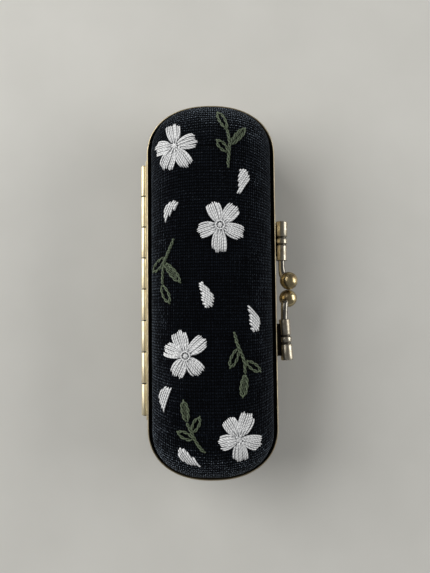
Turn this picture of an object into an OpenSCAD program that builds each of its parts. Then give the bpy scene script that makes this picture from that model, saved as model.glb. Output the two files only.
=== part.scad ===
// Embroidered hard glasses case: two fabric-covered domed halves in metal frames,
// joined by a long piano hinge on one side and closed by a two-ball snap clasp on the other.
// Origin: centre of the flat face that the case rests on. +Z up, +Y along the case,
// hinge on the -X side, clasp on the +X side.

/* [Overall] */
// Length of the closed case over its frames
case_l = 164.2; // [150:0.2:172]
// Width of the closed case over its frames
case_w = 56.4; // [54:0.2:60]
// Height of each half, from the parting plane to the crown of its fabric
half_h = 19.2; // [18:0.2:22]
// Length of each rounded end
end_l = 22.8; // [21:0.2:25]
// Squareness of the rounded ends, where 2 is an ellipse
end_power = 2.25; // [2:0.05:2.5]

/* [Frames] */
// Thickness of the frame's sheet metal
metal_t = 0.55; // [0.4:0.05:0.7]
// Height of the outer lip above the parting plane
lip_h = 4.6; // [4:0.1:5]
// Height of the inner lip above the parting plane
inner_lip_h = 3.6; // [3:0.1:4]
// Distance from the outside of the frame to its inner lip
groove_w = 5.6; // [5.4:0.1:6.2]
// Gap between the two closed frames
rim_gap = 0.3; // [0.2:0.05:0.5]

/* [Coverings] */
// Thickness of the outer fabric
cover_t = 0.5; // [0.4:0.05:0.6]
// Distance from the outside of the frame to the fabric where it bulges most
bulge_inset = 2; // [1.8:0.1:2.3]
// Distance from the outside of the frame to the fabric inside the groove
tuck_inset = 2.6; // [2.4:0.1:2.8]
// Height of the widest point of the fabric above the parting plane
spring_h = 7; // [6:0.2:8]
// Fullness of the dome, where 2 is an ellipse and more is squarer
dome_power = 2.5; // [2.2:0.1:3]
// Thickness of the padding at the crown
pad_t = 1.5; // [1:0.1:2]
// Thickness of the rigid shell
shell_t = 1; // [0.8:0.1:1.2]
// Thickness of the lining with its backing
lining_t = 0.4; // [0.3:0.05:0.5]

/* [Hinge] */
// Number of knuckles
knuckles = 8; // [4:2:10]
// Length of one knuckle with its gap
knuckle_pitch = 13.85; // [11:0.05:14]
// Gap between two knuckles
knuckle_gap = 0.3; // [0.2:0.05:0.5]
// Outer radius of the knuckles
knuckle_r = 1.5; // [1.4:0.05:1.7]
// Radius of the hinge pin
pin_r = 0.6; // [0.5:0.05:0.7]
// Thickness of the hinge leaves
leaf_t = 0.6; // [0.5:0.05:0.7]
// Height of the hinge leaves above the parting plane
leaf_h = 4.2; // [3.5:0.1:4.5]
// Offset of the hinge along the case
hinge_shift = 0.7; // [-1:0.1:1]

/* [Clasp] */
// Radius of the clasp balls
ball_r = 3.75; // [3.4:0.05:3.75]
// Distance of each ball from the middle of the case, along the case
ball_y = 3.85; // [3.85:0.05:4.2]
// Distance of each ball from the parting plane
ball_z = 1.6; // [1:0.1:2]
// Distance of the balls from the outside of the frame
ball_out = 6; // [5.5:0.1:6.5]
// Distance of the barrels from the middle of the case
barrel_y = 13.2; // [13:0.1:14]
// Height of the barrel axis from the parting plane
barrel_z = 2.9; // [2.7:0.1:3.2]
// Distance of the barrel axis from the outside of the frame
barrel_out = 3.5; // [3.4:0.1:4]
// Outward lean of the base's barrel in degrees
base_lean = 1; // [0:0.5:2]
// Outward lean of the lid's barrel in degrees
lid_lean = 3.5; // [1:0.5:4]
// Radius of the bent stems
stem_r = 1.45; // [1.3:0.05:1.5]

/* [Embroidery] */
// Height of the satin stitches over the fabric
stitch_h = 0.6; // [0.4:0.05:0.8]
// Width of a flower's petals
petal_w = 6.6; // [5.5:0.1:7]
// Width of the looped leaves
leaf_w = 3.8; // [3:0.1:4.5]

/* [Hidden] */
flower_names = [for (i = [1:4]) str("flower_", i)];
sprig_names = [for (i = [1:4]) str("sprig_", i)];
petal_names = [for (i = [1:6]) str("petal_", i)];

half_w = case_w / 2;
straight = case_l / 2 - end_l;
parting = half_h;
glue = 0.05;
// Floor of the frame's groove, and the foot of everything glued into it
floor_h = rim_gap / 2 + metal_t;
foot_h = floor_h + glue;
// Layers from the outside in
shell_inset = tuck_inset + cover_t + glue;
shell_top = half_h - cover_t - pad_t - 2 * glue;
lining_inset = shell_inset + shell_t + glue;
lining_top = shell_top - shell_t - glue;
// Steps along a quarter of the frames, along a quarter of the coverings, and up a dome
rim_steps = 16;
skin_steps = 8;
dome_steps = 7;
// Dome angles, from the vertical, where the crown ends in a flat cap
lid_cap = 3;
base_cap = 13;
// Hinge
hinge_x = -half_w - knuckle_r - 0.15;
hinge_l = knuckles * knuckle_pitch;
hinge_y = hinge_shift - hinge_l / 2;
leaf_over = 1.3;
leaf_foot = 0.2;
turn_gap = 0.15;
pin_fit = 0.01;
pin_play = 0.05;
pin_head_r = 0.9;
pin_head_t = 0.35;
// Clasp
barrel_l = 17.8;
socket_r = 1.75;
socket_l = 1.8;
stem_l = 1.5;
mount_l = 14;
mount_t = 2.4;
// Each flower: centre, then the direction and length of each petal
flowers = [
    [[-15, 59.5], [[95, 10], [14, 9.5], [-57, 10.5], [-113, 10.5], [-178, 8.5]]],
    [[3.5, 26], [[110, 10], [49, 10.5], [-22, 10.5], [-92, 11.5], [-162, 9.5]]],
    [[-11, -27.5], [[107, 10.5], [41, 10.5], [-51, 9.5], [-117, 9.5], [160, 9.5]]],
    [[10.5, -61], [[68, 11], [121, 9.5], [-166, 8.5], [-87, 9.5], [-16, 9.5]]]
];
// Each sprig: points along its stem, then the foot and tip of each leaf
sprigs = [
    [
        [[7, 50], [7.5, 56], [8, 60], [7, 66]],
        [[[6, 67], [3, 74.5]], [[9.2, 59.5], [14.5, 67]], [[6, 56.5], [2.5, 61.5]]]
    ],
    [
        [[-15.5, 20.5], [-18, 15], [-20, 10], [-20.5, 2]],
        [[[-20.8, 13.5], [-24.4, 7]], [[-18, 10.2], [-13, 2.5]], [[-20.6, 0.8], [-17.5, -6]]]
    ],
    [
        [[9, -18], [9.5, -21.5], [13, -30], [13, -35]],
        [[[9.6, -25], [7, -32.5]], [[14.6, -29.5], [19.5, -34.5]], [[13.4, -36.2], [12, -44.5]]]
    ],
    [
        [[-3.5, -66.5], [-6.5, -63], [-8.5, -59], [-10.5, -54.5]],
        [[[-10.7, -53.2], [-12, -45.5]], [[-7.8, -58], [-5.5, -52]], [[-9, -61.5], [-14.5, -58]]]
    ]
];
// Each loose petal: its two ends and its width
petals = [
    [[12, 39.5], [14, 49], 4.6],
    [[-19.5, 28.5], [-15, 36], 4.2],
    [[-4.5, 2.5], [-1, -7.5], 4.8],
    [[15.5, -7.5], [18, -17.5], 4.2],
    [[-20.5, -50], [-18.5, -40.5], 4.8],
    [[-5.5, -72], [-14, -66], 4.8]
];

// ---- Shapes shared by the layers of both halves ----

// A power that keeps the sign
function spow(v, k) = sign(v) * pow(abs(v), k);
// One rounded end, at +Y for s = 1 and at -Y for s = -1
function end_arc(w, e, n, s) = [
    for (i = [0:2 * n])
        let (t = 90 * i / n)
        [s * w * spow(cos(t), 2 / end_power), s * (straight + e * spow(sin(t), 2 / end_power))]
];
// Outline of half width w with ends of length e, anticlockwise
function outline(w, e, n) = concat(end_arc(w, e, n, 1), end_arc(w, e, n, -1));
// Outline of the frame, moved inwards
function inset_outline(d) = outline(half_w - d, end_l - d, rim_steps);

// Inset of the fabric at height z, out of the groove and up to its widest point
function fabric_inset(z) =
    bulge_inset + (tuck_inset - bulge_inset) * pow((spring_h - max(z, lip_h)) / (spring_h - lip_h), 2);
fabric_z = [foot_h, lip_h, lip_h + 0.8, lip_h + 1.6, spring_h];
pad_z = [lip_h + 0.8, lip_h + 1.6, spring_h];

// A level is [half width, end length, height]
function level(d, z) = [half_w - d, end_l - d, z];
function fabric_wall(d, heights) = [for (z = heights) level(fabric_inset(z) + d, z)];
function straight_wall(d, heights) = [for (z = heights) level(d, z)];
function dome(d, top, cap) = [
    for (i = [1:dome_steps])
        let (t = 90 - (90 - cap) * i / dome_steps)
        let (r = pow(sin(t), 2 / dome_power))
        let (f = pow(cos(t) / cos(cap), 2 / dome_power))
        [r * (half_w - d), r * (end_l - d), spring_h + (top - spring_h) * f]
];

function quad(a, b, c, d) = [[a, b, c], [a, c, d]];
// Triangles between two rings of n points, facing outwards or inwards
function band(low, high, n, outwards) = [
    for (i = [0:n - 1])
        let (j = (i + 1) % n)
        each outwards
            ? quad(low + i, high + i, high + j, low + j)
            : quad(low + i, low + j, high + j, high + i)
];

// A domed skin between an outer and an inner list of levels
module skin(outer, inner) {
    n = 4 * skin_steps + 2;
    m = len(outer);
    k = len(inner);
    points = [
        for (l = concat(outer, inner))
            for (p = outline(l[0], l[1], skin_steps))
                [p.x, p.y, l[2]]
    ];
    outside = [for (i = [0:m - 2]) each band(i * n, (i + 1) * n, n, true)];
    inside = [for (i = [m:m + k - 2]) each band(i * n, (i + 1) * n, n, false)];
    crown = [[for (i = [n - 1:-1:0]) (m - 1) * n + i], [for (i = [0:n - 1]) (m + k - 1) * n + i]];
    foot = [
        for (i = [0:n - 1])
            let (j = (i + 1) % n)
            each quad(i, j, m * n + j, m * n + i)
    ];
    polyhedron(points, concat(outside, inside, crown, foot));
}

// ---- Parts of one half, with the parting plane at z = 0 and the dome upwards ----

module half_frame() {
    difference() {
        translate([0, 0, rim_gap / 2])
            linear_extrude(lip_h - rim_gap / 2)
                polygon(inset_outline(0));
        translate([0, 0, floor_h])
            linear_extrude(lip_h)
                difference() {
                    polygon(inset_outline(metal_t));
                    polygon(inset_outline(groove_w));
                }
        translate([0, 0, inner_lip_h])
            linear_extrude(lip_h)
                polygon(inset_outline(metal_t));
        translate([0, 0, -1])
            linear_extrude(lip_h + 2)
                polygon(inset_outline(groove_w + metal_t));
    }
}

module half_cover(cap) {
    skin(
        concat(fabric_wall(0, fabric_z), dome(bulge_inset, half_h, cap)),
        concat(fabric_wall(cover_t, fabric_z), dome(bulge_inset + cover_t, half_h - cover_t, cap))
    );
}

module half_padding(cap) {
    under = cover_t + glue;
    over = shell_inset - glue;
    skin(
        concat(fabric_wall(under, pad_z), dome(bulge_inset + under, half_h - under, cap)),
        concat(straight_wall(over, pad_z), dome(over, shell_top + glue, cap))
    );
}

// A plain skin of thickness t whose outside is inset by d and rises to top
module plain_skin(d, top, t, cap) {
    skin(
        concat(straight_wall(d, [foot_h, spring_h]), dome(d, top, cap)),
        concat(straight_wall(d + t, [foot_h, spring_h]), dome(d + t, top - t, cap))
    );
}

// Twisted paper cord pressed into the groove to lock the lining
module half_filler() {
    translate([0, 0, foot_h])
        linear_extrude(1.8)
            difference() {
                polygon(inset_outline(lining_inset + lining_t + 0.25));
                polygon(inset_outline(groove_w - 2 * glue));
            }
}

module lid_side() {
    translate([0, 0, parting])
        children();
}

module base_side() {
    translate([0, 0, parting])
        rotate([180, 0, 0])
            children();
}

// ---- Hinge ----

// A cylinder on the hinge axis from y over length l
module on_axis(r, y, l) {
    translate([hinge_x, y, parting])
        rotate([-90, 0, 0])
            cylinder(r = r, h = l, $fn = 48);
}

// One leaf with every second knuckle, on the lid for side = 1 and on the base for side = -1
module leaf(side, bore_r) {
    first = side > 0 ? 1 : 0;
    plate_l = hinge_l + 2 * leaf_over;
    plate_z = side > 0 ? parting + leaf_foot : parting - leaf_h;
    difference() {
        union() {
            translate([-half_w - leaf_t, hinge_y - leaf_over, plate_z])
                cube([leaf_t, plate_l, leaf_h - leaf_foot]);
            for (k = [first:2:knuckles - 1])
                on_axis(knuckle_r, hinge_y + k * knuckle_pitch + knuckle_gap / 2, knuckle_pitch - knuckle_gap);
        }
        on_axis(bore_r, hinge_y - 2, hinge_l + 4);
        for (k = [1 - first:2:knuckles - 1])
            on_axis(
                knuckle_r + turn_gap,
                hinge_y + k * knuckle_pitch - knuckle_gap / 2,
                knuckle_pitch + knuckle_gap
            );
    }
}

module hinge_pin() {
    color("darkgoldenrod") {
        on_axis(pin_r, hinge_y - pin_head_t, hinge_l + 2 * pin_head_t);
        on_axis(pin_head_r, hinge_y - pin_head_t, pin_head_t);
        on_axis(pin_head_r, hinge_y + hinge_l, pin_head_t);
    }
}

// ---- Clasp, drawn for the base; the lid's is the same turned half round about the X axis ----

ball_x = half_w + ball_out;
barrel_x = half_w + barrel_out;

// Radius and distance along the barrel, from the stem's end
barrel_profile = [
    [0, 0], [2.2, 0], [2.4, 0.2], [2.4, 6.7], [2.05, 6.9], [2.05, 7.6], [2.55, 7.8], [2.55, 9.9],
    [2.05, 10.1], [2.05, 10.9], [2.55, 11.1], [2.7, barrel_l - 0.3], [2.4, barrel_l], [0, barrel_l]
];

module barrel(lean) {
    difference() {
        union() {
            translate([barrel_x, barrel_y, -barrel_z])
                rotate([0, 0, -lean])
                    rotate([-90, 0, 0])
                        rotate_extrude($fn = 64)
                            polygon(barrel_profile);
            translate([half_w, barrel_y + barrel_l / 2 - mount_l / 2, -barrel_z - mount_t / 2])
                cube([barrel_out - 1, mount_l, mount_t]);
        }
        translate([barrel_x, barrel_y, -barrel_z])
            rotate([0, 0, -lean])
                rotate([-90, 0, 0])
                    translate([0, 0, -1])
                        cylinder(r = socket_r, h = socket_l + 1, $fn = 48);
    }
}

// The stem runs straight out of its socket, then bends outwards and across to the ball
stem_start = [barrel_x, barrel_y + stem_l, -barrel_z];
stem_pull = [barrel_x, barrel_y - 7.5, -barrel_z - 0.4];
stem_enter = [ball_x - 1.9, ball_y + 1.6, ball_z - 3.4];
stem_end = [ball_x - 0.9, ball_y + 0.8, ball_z - 1.6];

function bezier(t) =
    pow(1 - t, 3) * stem_start + 3 * pow(1 - t, 2) * t * stem_pull
    + 3 * (1 - t) * t * t * stem_enter + pow(t, 3) * stem_end;

// A tube along a list of points, with its radius at the start and at the end
module tube(path, r1, r2, sides) {
    last = len(path) - 1;
    points = [
        for (i = [0:last])
            let (d = path[min(i + 1, last)] - path[max(i - 1, 0)])
            let (t = d / norm(d))
            let (side = cross(t, [0, 0, 1]) / norm(cross(t, [0, 0, 1])))
            let (up = cross(t, side))
            let (r = r1 + (r2 - r1) * i / last)
            for (k = [0:sides - 1])
                path[i] + r * (side * cos(360 * k / sides) + up * sin(360 * k / sides))
    ];
    walls = [for (i = [0:last - 1]) each band(i * sides, (i + 1) * sides, sides, true)];
    ends = [[for (k = [0:sides - 1]) k], [for (k = [sides - 1:-1:0]) last * sides + k]];
    polyhedron(points, concat(walls, ends));
}

module stem() {
    tube([for (i = [0:14]) bezier(i / 14)], stem_r, stem_r - 0.15, 12);
}

module ball() {
    translate([ball_x, ball_y, ball_z])
        sphere(r = ball_r, $fn = 48);
}

// ---- Embroidery, on the lid's fabric ----

// How far a point lies from the middle line of the dome, where 1 is the widest fabric
function dome_share(x, y) =
    let (u = abs(x) / (half_w - bulge_inset))
    let (v = max(abs(y) - straight, 0) / (end_l - bulge_inset))
    min(0.985, pow(pow(u, end_power) + pow(v, end_power), 1 / end_power));
function dome_z(x, y) =
    spring_h + (half_h - spring_h) * pow(1 - pow(dome_share(x, y), dome_power), 1 / dome_power);
// The point over [x, y] on the dome, lifted along its normal
function on_dome(p, lift) =
    let (s = 0.05)
    let (gx = (dome_z(p.x + s, p.y) - dome_z(p.x - s, p.y)) / (2 * s))
    let (gy = (dome_z(p.x, p.y + s) - dome_z(p.x, p.y - s)) / (2 * s))
    let (n = [-gx, -gy, 1] / norm([-gx, -gy, 1]))
    [p.x, p.y, dome_z(p.x, p.y)] + lift * n;

// A raised patch of stitches over a flat outline round a centre
module patch(points2, centre, height) {
    n = len(points2);
    crown = [for (p = points2) centre + 0.7 * (p - centre)];
    points = concat(
        [for (p = points2) on_dome(p, -0.1)],
        [for (p = points2) on_dome(p, height / 2)],
        [for (p = crown) on_dome(p, height)],
        [on_dome(centre, -0.1), on_dome(centre, height)]
    );
    under = [for (i = [0:n - 1]) [3 * n, i, (i + 1) % n]];
    over = [for (i = [0:n - 1]) [3 * n + 1, 2 * n + (i + 1) % n, 2 * n + i]];
    polyhedron(points, concat(band(0, n, n, true), band(n, 2 * n, n, true), under, over));
}

// Outline of a petal or leaf from one end to the other; fullness moves its widest point
function blade(a, b, w, fullness) =
    let (along = b - a)
    let (across = [-along.y, along.x] / norm(along))
    [
        for (i = [0:9])
            let (t = 36 * i)
            a + along * (1 - cos(t)) / 2 - across * w / 2 * sin(t) * (1 - fullness * cos(t)) / (1 + fullness / 2)
    ];

module blade_patch(a, b, w, fullness, height) {
    patch(blade(a, b, w, fullness), a + 0.55 * (b - a), height);
}

// Five satin-stitched petals round a knotted centre
module flower(f) {
    for (p = f[1]) {
        dir = [cos(p[0]), sin(p[0])];
        blade_patch(f[0] + 2.1 * dir, f[0] + p[1] * dir, petal_w, 0.5, stitch_h);
    }
    patch([for (i = [0:7]) f[0] + 1.3 * [cos(45 * i), sin(45 * i)]], f[0], stitch_h);
}

// A stem of outline stitches with looped leaves
module sprig(s) {
    tube([for (p = s[0]) on_dome(p, 0.15)], 0.5, 0.45, 8);
    for (l = s[1])
        blade_patch(l[0], l[1], leaf_w, 0, stitch_h - 0.1);
}

// ---- Nodes ----

module base_frame() {
    color("goldenrod")
        base_side()
            half_frame();
}

module base_shell() {
    color("dimgray")
        base_side()
            plain_skin(shell_inset, shell_top, shell_t, base_cap);
}

module base_padding() {
    color("whitesmoke")
        base_side()
            half_padding(base_cap);
}

module base_cover() {
    color([0.06, 0.07, 0.1])
        base_side()
            half_cover(base_cap);
}

module base_lining() {
    color("beige")
        base_side()
            plain_skin(lining_inset, lining_top, lining_t, base_cap);
}

module base_filler_cord() {
    color("burlywood")
        base_side()
            half_filler();
}

module base_hinge_leaf() {
    color("gold")
        leaf(-1, pin_r + pin_fit);
}

module base_clasp_barrel() {
    color("darkkhaki")
        lid_side()
            barrel(base_lean);
}

module base_clasp_stem() {
    color("darkkhaki")
        lid_side()
            stem();
}

module base_clasp_ball() {
    color("peru")
        lid_side()
            ball();
}

module lid_frame() {
    color("goldenrod")
        lid_side()
            half_frame();
}

module lid_shell() {
    color("dimgray")
        lid_side()
            plain_skin(shell_inset, shell_top, shell_t, lid_cap);
}

module lid_padding() {
    color("whitesmoke")
        lid_side()
            half_padding(lid_cap);
}

module lid_cover() {
    color([0.06, 0.07, 0.1])
        lid_side()
            half_cover(lid_cap);
}

module lid_lining() {
    color("beige")
        lid_side()
            plain_skin(lining_inset, lining_top, lining_t, lid_cap);
}

module lid_filler_cord() {
    color("burlywood")
        lid_side()
            half_filler();
}

module lid_hinge_leaf() {
    color("gold")
        leaf(1, pin_r + pin_play);
}

module lid_clasp_barrel() {
    color("darkkhaki")
        base_side()
            barrel(lid_lean);
}

module lid_clasp_stem() {
    color("darkkhaki")
        base_side()
            stem();
}

module lid_clasp_ball() {
    color("peru")
        base_side()
            ball();
}

base_frame();
base_shell();
base_padding();
base_cover();
base_lining();
base_filler_cord();
base_hinge_leaf();
hinge_pin();
base_clasp_barrel();
base_clasp_stem();
base_clasp_ball();
lid_frame();
lid_shell();
lid_padding();
lid_cover();
lid_lining();
lid_filler_cord();
lid_hinge_leaf();
lid_clasp_barrel();
lid_clasp_stem();
lid_clasp_ball();
for (i = [0:3]) {
    color("white") lid_side() flower(flowers[i]);
    color("darkolivegreen") lid_side() sprig(sprigs[i]);
}
for (i = [0:5]) {
    color("white")
            lid_side()
                blade_patch(petals[i][0], petals[i][1], petals[i][2], 0.3, stitch_h);
}
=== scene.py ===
"""Looks of the embroidered hard glasses case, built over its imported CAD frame.

Meshes are worked out in millimetres and handed to Blender in metres. Each half is built with its
parting plane at z = 0 and its dome upwards, then placed as the lid or, turned half round about X,
as the base, as the CAD does it.
"""
import math
import random

import bpy
import numpy as np
from mathutils import Matrix, Vector
from mathutils.bvhtree import BVHTree


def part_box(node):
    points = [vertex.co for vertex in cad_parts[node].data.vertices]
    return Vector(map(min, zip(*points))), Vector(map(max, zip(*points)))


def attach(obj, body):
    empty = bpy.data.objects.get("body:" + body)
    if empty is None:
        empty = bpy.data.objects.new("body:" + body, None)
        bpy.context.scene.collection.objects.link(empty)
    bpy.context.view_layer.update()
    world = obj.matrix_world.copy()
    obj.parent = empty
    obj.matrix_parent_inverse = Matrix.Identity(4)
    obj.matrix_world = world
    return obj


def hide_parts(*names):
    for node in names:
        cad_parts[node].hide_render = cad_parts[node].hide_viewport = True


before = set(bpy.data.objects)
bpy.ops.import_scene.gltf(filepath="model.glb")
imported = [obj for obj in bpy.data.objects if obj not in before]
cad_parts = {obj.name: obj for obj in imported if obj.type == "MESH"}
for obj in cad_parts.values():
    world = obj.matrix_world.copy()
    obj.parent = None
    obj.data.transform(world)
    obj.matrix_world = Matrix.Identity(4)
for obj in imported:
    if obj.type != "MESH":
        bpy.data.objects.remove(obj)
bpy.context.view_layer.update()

METRE = 1000.0
LATHE_SIDES = 48
random.seed(11)


# ---- Sizes, in millimetres: the large ones come from the frame ----

def box_mm(node):
    """Lowest and highest corner of a CAD node."""
    low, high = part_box(node)
    return low * METRE, high * METRE


rim_low, rim_high = box_mm("lid_frame")
cover_low, cover_high = box_mm("lid_cover")
shell_low, shell_high = box_mm("lid_shell")
lining_low, lining_high = box_mm("lid_lining")
pin_low, pin_high = box_mm("hinge_pin")
leaf_low, leaf_high = box_mm("base_hinge_leaf")

# Half width, parting plane and heights above it, and the insets of the layers from the frame's outside
HALF_W = rim_high.x
PARTING = (rim_low.z + box_mm("base_frame")[1].z) / 2
RIM_FOOT = rim_low.z - PARTING
LIP_H = rim_high.z - PARTING
HALF_H = cover_high.z - PARTING
FOOT_H = cover_low.z - PARTING
BULGE = HALF_W - cover_high.x
SHELL_INSET = HALF_W - shell_high.x
SHELL_TOP = shell_high.z - PARTING
LINING_INSET = HALF_W - lining_high.x
LINING_TOP = lining_high.z - PARTING

# Plan, dome and metal
END_L = 22.8
STRAIGHT = rim_high.y - END_L
END_POWER = 2.25
DOME_POWER = 2.5
END_DOME_POWER = 2.0
END_PULL = 0.3
SPRING_H = 7
TUCK = 2.6
METAL_T = 0.55
INNER_LIP_H = 3.6
GROOVE_W = 5.6
COVER_T = 0.5
WADDING_FOOT = LIP_H + 0.8
SHELL_T = 1
LINING_T = 0.4
GLUE = 0.05
LID_CAP = 0.5
BASE_CAP = 13

# Hinge
KNUCKLES = 8
KNUCKLE_GAP = 0.3
KNUCKLE_R = 1.5
PIN_R = 0.6
PIN_HEAD_T = 0.35
LEAF_T = 0.6
LEAF_H = 4.2
LEAF_FOOT = 0.2
HINGE_X = -HALF_W - KNUCKLE_R - 0.15
HINGE_Y = pin_low.y + PIN_HEAD_T
KNUCKLE_PITCH = (pin_high.y - pin_low.y - 2 * PIN_HEAD_T) / KNUCKLES

# Clasp
BALL_R = 3.95
BALL = Vector((HALF_W + 6, 3.85, 1.6))
BARREL = Vector((HALF_W + 3.5, 13.2, -2.9))
BARREL_L = 17.8
BASE_LEAN = 1
LID_LEAN = 3.5
STEM_R = 1.45
MOUNT_L = 14
MOUNT_T = 2.4

# Linen, and how far the cloth simulation may move it
WARP_PITCH = 0.94
WEFT_PITCH = 1.3
CLOTH_SCALE = 10.0
CLOTH_STEPS = 20
CLOTH_PRESSURE = 6.0
CLOTH_SLACK = 0.004
CLOTH_CAP = 0.45
GLUED_ROWS = 4

# Embroidery
THREAD_R = 0.4
STITCH_PITCH = 0.8
PETAL_W = 6.6
PETAL_BOW = 0.9
LEAF_LOOP_W = 2.4
STEM_STITCH = 2.1
RING_R = 1.8


# ---- Mesh building ----

def add_object(name, data):
    """A new object in the scene."""
    made = bpy.data.objects.new(name, data)
    bpy.context.scene.collection.objects.link(made)
    return made


def moved(points, matrix):
    """Points moved by a 4x4 matrix."""
    turn = np.array(matrix)
    return np.array(points) @ turn[:3, :3].T + turn[:3, 3]


class Soup:
    """Collects vertices and faces, with values for each vertex, and makes one object of them."""

    def __init__(self):
        self.points = []
        self.faces = []
        self.values = {}

    def add(self, points, faces, **values):
        first = len(self.points)
        points = np.asarray(points, float).reshape(-1, 3)
        self.points.extend(points)
        self.faces.extend(tuple(first + i for i in face) for face in faces)
        for name, value in values.items():
            rows = self.values.setdefault(name, [])
            rows.extend(np.broadcast_to(value, (len(points), np.shape(value)[-1])))

    def make(self, name, place=None):
        """The object, its points turned by place, a 4x4 matrix in millimetres."""
        points = np.array(self.points) if place is None else moved(self.points, place)
        mesh = bpy.data.meshes.new(name)
        mesh.from_pydata((points / METRE).tolist(), [], self.faces)
        for key, rows in self.values.items():
            layer = mesh.attributes.new(key, "FLOAT_VECTOR", "POINT")
            layer.data.foreach_set("vector", np.array(rows, float).ravel())
        mesh.shade_smooth()
        mesh.validate()
        return add_object(name, mesh)


LID_SIDE = Matrix.Translation((0, 0, PARTING))
BASE_SIDE = Matrix.Translation((0, 0, PARTING)) @ Matrix.Rotation(math.pi, 4, "X")


def dress(soup, name, place, body, slot, material, *nodes):
    """Makes a piece with its material, attaches it to the body it rides on and hides the CAD nodes that it
    stands for.
    """
    piece = soup.make(name, place)
    piece.data.materials.append(material)
    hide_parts(*nodes)
    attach(piece, body)
    return piece


def bevel(piece, width, angle=35):
    """Rounded edges, width in millimetres."""
    mod = piece.modifiers.new("edges", "BEVEL")
    mod.width = width / METRE
    mod.segments = 2
    mod.limit_method = "ANGLE"
    mod.angle_limit = math.radians(angle)
    mod.harden_normals = True


def signed_power(value, power):
    return np.sign(value) * np.abs(value) ** power


def outline(half_w, end_l, side_n, arc_n):
    """Points anticlockwise: right side, far end, left side, near end."""
    along = np.linspace(-STRAIGHT, STRAIGHT, side_n, endpoint=False)
    t = np.linspace(0, math.pi, 2 * arc_n, endpoint=False)
    arc_x = half_w * signed_power(np.cos(t), 2 / END_POWER)
    arc_y = STRAIGHT + end_l * signed_power(np.sin(t), 2 / END_POWER)
    x = np.concatenate([np.full(side_n, half_w), arc_x, np.full(side_n, -half_w), -arc_x])
    y = np.concatenate([along, arc_y, -along, -arc_y])
    return np.stack([x, y], axis=1)


def ring(level, side_n, arc_n):
    """One level (half width, end length, height) as points."""
    flat = outline(level[0], level[1], side_n, arc_n)
    return np.column_stack([flat, np.full(len(flat), level[2])])


def ring_faces(rings, count, outwards=True, closed=False):
    """Quads between rings of count points each, anticlockwise rings stacked in order."""
    faces = []
    for row in range(rings if closed else rings - 1):
        low = row * count
        high = (row + 1) % rings * count
        for i in range(count):
            j = (i + 1) % count
            face = (low + i, low + j, high + j, high + i)
            faces.append(face if outwards else face[::-1])
    return faces


def crown_faces(first, side_n, arc_n, outwards=True):
    """Closes a ring across its long middle, side to side."""
    count = 2 * side_n + 4 * arc_n
    middle = side_n + arc_n
    faces = []
    for j in range(-arc_n, middle):
        loop = [j, j + 1, 2 * middle - j - 1, 2 * middle - j]
        face = list(dict.fromkeys(first + i % count for i in loop))
        faces.append(tuple(face if outwards else face[::-1]))
    return faces


def add_lathe(soup, profile, centre, patina):
    """A closed part turned along +Y from centre, of points (radius, distance); a stored value darkens each
    point, as tarnish and painted shade.
    """
    angles = [2 * math.pi * k / LATHE_SIDES for k in range(LATHE_SIDES)]
    points = [(centre[0] + radius * math.sin(a), centre[1] + distance, centre[2] + radius * math.cos(a))
              for radius, distance in profile for a in angles]
    last = (len(profile) - 1) * LATHE_SIDES
    caps = [tuple(range(LATHE_SIDES - 1, -1, -1)), tuple(last + k for k in range(LATHE_SIDES))]
    values = np.repeat([[p, 0, 0] for p in patina], LATHE_SIDES, axis=0)
    soup.add(points, ring_faces(len(profile), LATHE_SIDES) + caps, patina=values)


def add_block(soup, low, high, **values):
    """A box between two corners."""
    spans = list(zip(low, high))
    corners = [(x, y, z) for z in spans[2] for y in spans[1] for x in spans[0]]
    faces = [(0, 2, 3, 1), (4, 5, 7, 6), (0, 1, 5, 4), (1, 3, 7, 5), (3, 2, 6, 7), (2, 0, 4, 6)]
    soup.add(corners, faces, **values)


def unit(rows):
    """Each row at a length of 1."""
    return rows / np.linalg.norm(rows, axis=1, keepdims=True)


def loop_ahead(loop):
    """The direction at each point of a closed path, not of unit length."""
    return np.roll(loop, -1, axis=0) - np.roll(loop, 1, axis=0)


def distances(path):
    """How far along the path each of its points lies."""
    return np.concatenate([[0], np.cumsum(np.linalg.norm(np.diff(path, axis=0), axis=1))])


def add_tube(soup, path, radius, sides=10, up=(0, 0, 1), flat=1.0, plies=2, tint=1.0, closed=False):
    """A thread or rod along a path; each vertex stores how far along and round it lies, its tint, and
    how much it faces away from what the thread lies on."""
    path = np.asarray(path, float)
    count = len(path)
    ahead = unit(loop_ahead(path) if closed else np.gradient(path, axis=0))
    up = np.broadcast_to(np.asarray(up, float), (count, 3))
    side = unit(np.cross(ahead, up))
    over = np.cross(side, ahead)
    radius = np.broadcast_to(radius, count)
    along = distances(path)
    a = 2 * math.pi * np.arange(sides) / sides
    rim = side[:, None] * np.cos(a)[None, :, None] + flat * over[:, None] * np.sin(a)[None, :, None]
    points = path[:, None] + radius[:, None, None] * rim
    ply = np.stack(np.broadcast_arrays(along[:, None], np.cos(plies * a), np.sin(plies * a)), axis=-1)
    look = np.stack(np.broadcast_arrays(float(tint), np.sin(a)[None, :], np.zeros((count, sides))), axis=-1)
    faces = ring_faces(count, sides, outwards=False, closed=closed)
    if not closed:
        last = (count - 1) * sides
        faces += [tuple(range(sides)), tuple(last + k for k in range(sides - 1, -1, -1))]
    soup.add(points.reshape(-1, 3), faces, ply=ply.reshape(-1, 3), look=look.reshape(-1, 3))


# ---- Levels of the layers of one half ----

def fabric_inset(z):
    """How far the fabric lies inside the frame at a height, out of the groove to its widest point."""
    share = (SPRING_H - max(z, LIP_H)) / (SPRING_H - LIP_H)
    return BULGE + (TUCK - BULGE) * share ** 2


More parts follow.
